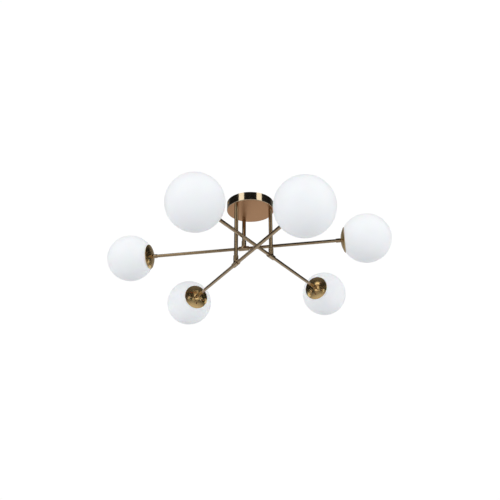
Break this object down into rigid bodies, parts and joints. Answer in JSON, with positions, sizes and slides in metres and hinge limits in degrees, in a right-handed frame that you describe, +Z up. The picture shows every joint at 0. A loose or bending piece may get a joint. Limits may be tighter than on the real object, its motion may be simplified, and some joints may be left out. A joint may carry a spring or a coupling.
{
  "type": "multi arm chandelier",
  "caption": "Semi-flush ceiling light: straight brass arms crossed at staggered heights on separate stems under a round canopy, an opal glass globe in a vented brass cap at each arm's end.",
  "frame": {"origin": "centre of the ceiling face, on the canopy's axis", "axes": "+Z up into the ceiling; +X along the upper arm, towards its end b"},
  "size_m": [0.91, 0.8642, 0.302],
  "materials": {
    "antique_brass": "satin antique",
    "canopy_brass": "brushed underside, polished rim",
    "polished_brass": "polished",
    "steel": "zinc plated",
    "opal_glass": "satin opal",
    "bulb_glass": "frosted",
    "porcelain": "glazed",
    "white_plastic": "moulded",
    "sheath": "extruded"
  },
  "bodies": {
    "ceiling_frame": {"ceiling_bracket": "steel", "canopy": "canopy_brass", "canopy_screws": "polished_brass", "junction_block": "white_plastic", "clamp_screws": "steel", "supply_leads": "sheath", "stem_nipples": "steel", "stem_nuts": "steel", "stem_washers": "steel", "upper_stem": "antique_brass", "middle_stem": "antique_brass", "lower_stem": "antique_brass", "swivel_pins": "antique_brass"},
    "upper_arm": {"upper_tee": "antique_brass", "upper_grub_screw": "steel", "upper_tube_a": "antique_brass", "upper_tube_b": "antique_brass", "upper_collars": "antique_brass", "upper_cap_a": "polished_brass", "upper_cap_b": "polished_brass", "upper_rings": "steel", "upper_holder_a": "porcelain", "upper_holder_b": "porcelain", "upper_leads": "sheath"},
    "middle_arm": {"middle_tee": "antique_brass", "middle_grub_screw": "steel", "middle_tube_a": "antique_brass", "middle_tube_b": "antique_brass", "middle_collars": "antique_brass", "middle_cap_a": "polished_brass", "middle_cap_b": "polished_brass", "middle_rings": "steel", "middle_holder_a": "porcelain", "middle_holder_b": "porcelain", "middle_leads": "sheath"},
    "lower_arm": {"lower_tee": "antique_brass", "lower_grub_screw": "steel", "lower_tube_a": "antique_brass", "lower_tube_b": "antique_brass", "lower_collars": "antique_brass", "lower_cap_a": "polished_brass", "lower_cap_b": "polished_brass", "lower_rings": "steel", "lower_holder_a": "porcelain", "lower_holder_b": "porcelain", "lower_leads": "sheath"},
    "upper_shade_a": {"upper_globe_a": "opal_glass"},
    "upper_lamp_a": {"upper_bulb_a": "bulb_glass"},
    "upper_shade_b": {"upper_globe_b": "opal_glass"},
    "upper_lamp_b": {"upper_bulb_b": "bulb_glass"},
    "middle_shade_a": {"middle_globe_a": "opal_glass"},
    "middle_lamp_a": {"middle_bulb_a": "bulb_glass"},
    "middle_shade_b": {"middle_globe_b": "opal_glass"},
    "middle_lamp_b": {"middle_bulb_b": "bulb_glass"},
    "lower_shade_a": {"lower_globe_a": "opal_glass"},
    "lower_lamp_a": {"lower_bulb_a": "bulb_glass"},
    "lower_shade_b": {"lower_globe_b": "opal_glass"},
    "lower_lamp_b": {"lower_bulb_b": "bulb_glass"}
  },
  "joints": [
    {"name": "upper_arm_swivel", "type": "hinge", "parent": "ceiling_frame", "child": "upper_arm", "pos_m": [-0.03177, 0.05504, -0.128], "axis": [0, 0, 1], "range_deg": [-10, 10]},
    {"name": "middle_arm_swivel", "type": "hinge", "parent": "ceiling_frame", "child": "middle_arm", "pos_m": [0.06355, 0, -0.187], "axis": [0, 0, 1], "range_deg": [-10, 10]},
    {"name": "lower_arm_swivel", "type": "hinge", "parent": "ceiling_frame", "child": "lower_arm", "pos_m": [-0.03177, -0.05504, -0.227], "axis": [0, 0, 1], "range_deg": [-10, 10]},
    {"name": "upper_globe_a_unscrew", "type": "hinge", "parent": "upper_arm", "child": "upper_shade_a", "pos_m": [-0.41178, 0.05504, -0.128], "axis": [-1, 0, 0], "range_deg": [0, 540]},
    {"name": "upper_bulb_a_unscrew", "type": "hinge", "parent": "upper_arm", "child": "upper_lamp_a", "pos_m": [-0.41178, 0.05504, -0.128], "axis": [-1, 0, 0], "range_deg": [0, 900]},
    {"name": "upper_globe_b_unscrew", "type": "hinge", "parent": "upper_arm", "child": "upper_shade_b", "pos_m": [0.34823, 0.05504, -0.128], "axis": [1, 0, 0], "range_deg": [0, 540]},
    {"name": "upper_bulb_b_unscrew", "type": "hinge", "parent": "upper_arm", "child": "upper_lamp_b", "pos_m": [0.34823, 0.05504, -0.128], "axis": [1, 0, 0], "range_deg": [0, 900]},
    {"name": "middle_globe_a_unscrew", "type": "hinge", "parent": "middle_arm", "child": "middle_shade_a", "pos_m": [0.19352, 0.35708, -0.187], "axis": [0.342, 0.9397, 0], "range_deg": [0, 540]},
    {"name": "middle_bulb_a_unscrew", "type": "hinge", "parent": "middle_arm", "child": "middle_lamp_a", "pos_m": [0.19352, 0.35708, -0.187], "axis": [0.342, 0.9397, 0], "range_deg": [0, 900]},
    {"name": "middle_globe_b_unscrew", "type": "hinge", "parent": "middle_arm", "child": "middle_shade_b", "pos_m": [-0.06642, -0.35708, -0.187], "axis": [-0.342, -0.9397, 0], "range_deg": [0, 540]},
    {"name": "middle_bulb_b_unscrew", "type": "hinge", "parent": "middle_arm", "child": "middle_lamp_b", "pos_m": [-0.06642, -0.35708, -0.187], "axis": [-0.342, -0.9397, 0], "range_deg": [0, 900]},
    {"name": "lower_globe_a_unscrew", "type": "hinge", "parent": "lower_arm", "child": "lower_shade_a", "pos_m": [0.20218, -0.35448, -0.227], "axis": [0.6157, -0.788, 0], "range_deg": [0, 540]},
    {"name": "lower_bulb_a_unscrew", "type": "hinge", "parent": "lower_arm", "child": "lower_lamp_a", "pos_m": [0.20218, -0.35448, -0.227], "axis": [0.6157, -0.788, 0], "range_deg": [0, 900]},
    {"name": "lower_globe_b_unscrew", "type": "hinge", "parent": "lower_arm", "child": "lower_shade_b", "pos_m": [-0.26573, 0.24441, -0.227], "axis": [-0.6157, 0.788, 0], "range_deg": [0, 540]},
    {"name": "lower_bulb_b_unscrew", "type": "hinge", "parent": "lower_arm", "child": "lower_lamp_b", "pos_m": [-0.26573, 0.24441, -0.227], "axis": [-0.6157, 0.788, 0], "range_deg": [0, 900]}
  ]
}
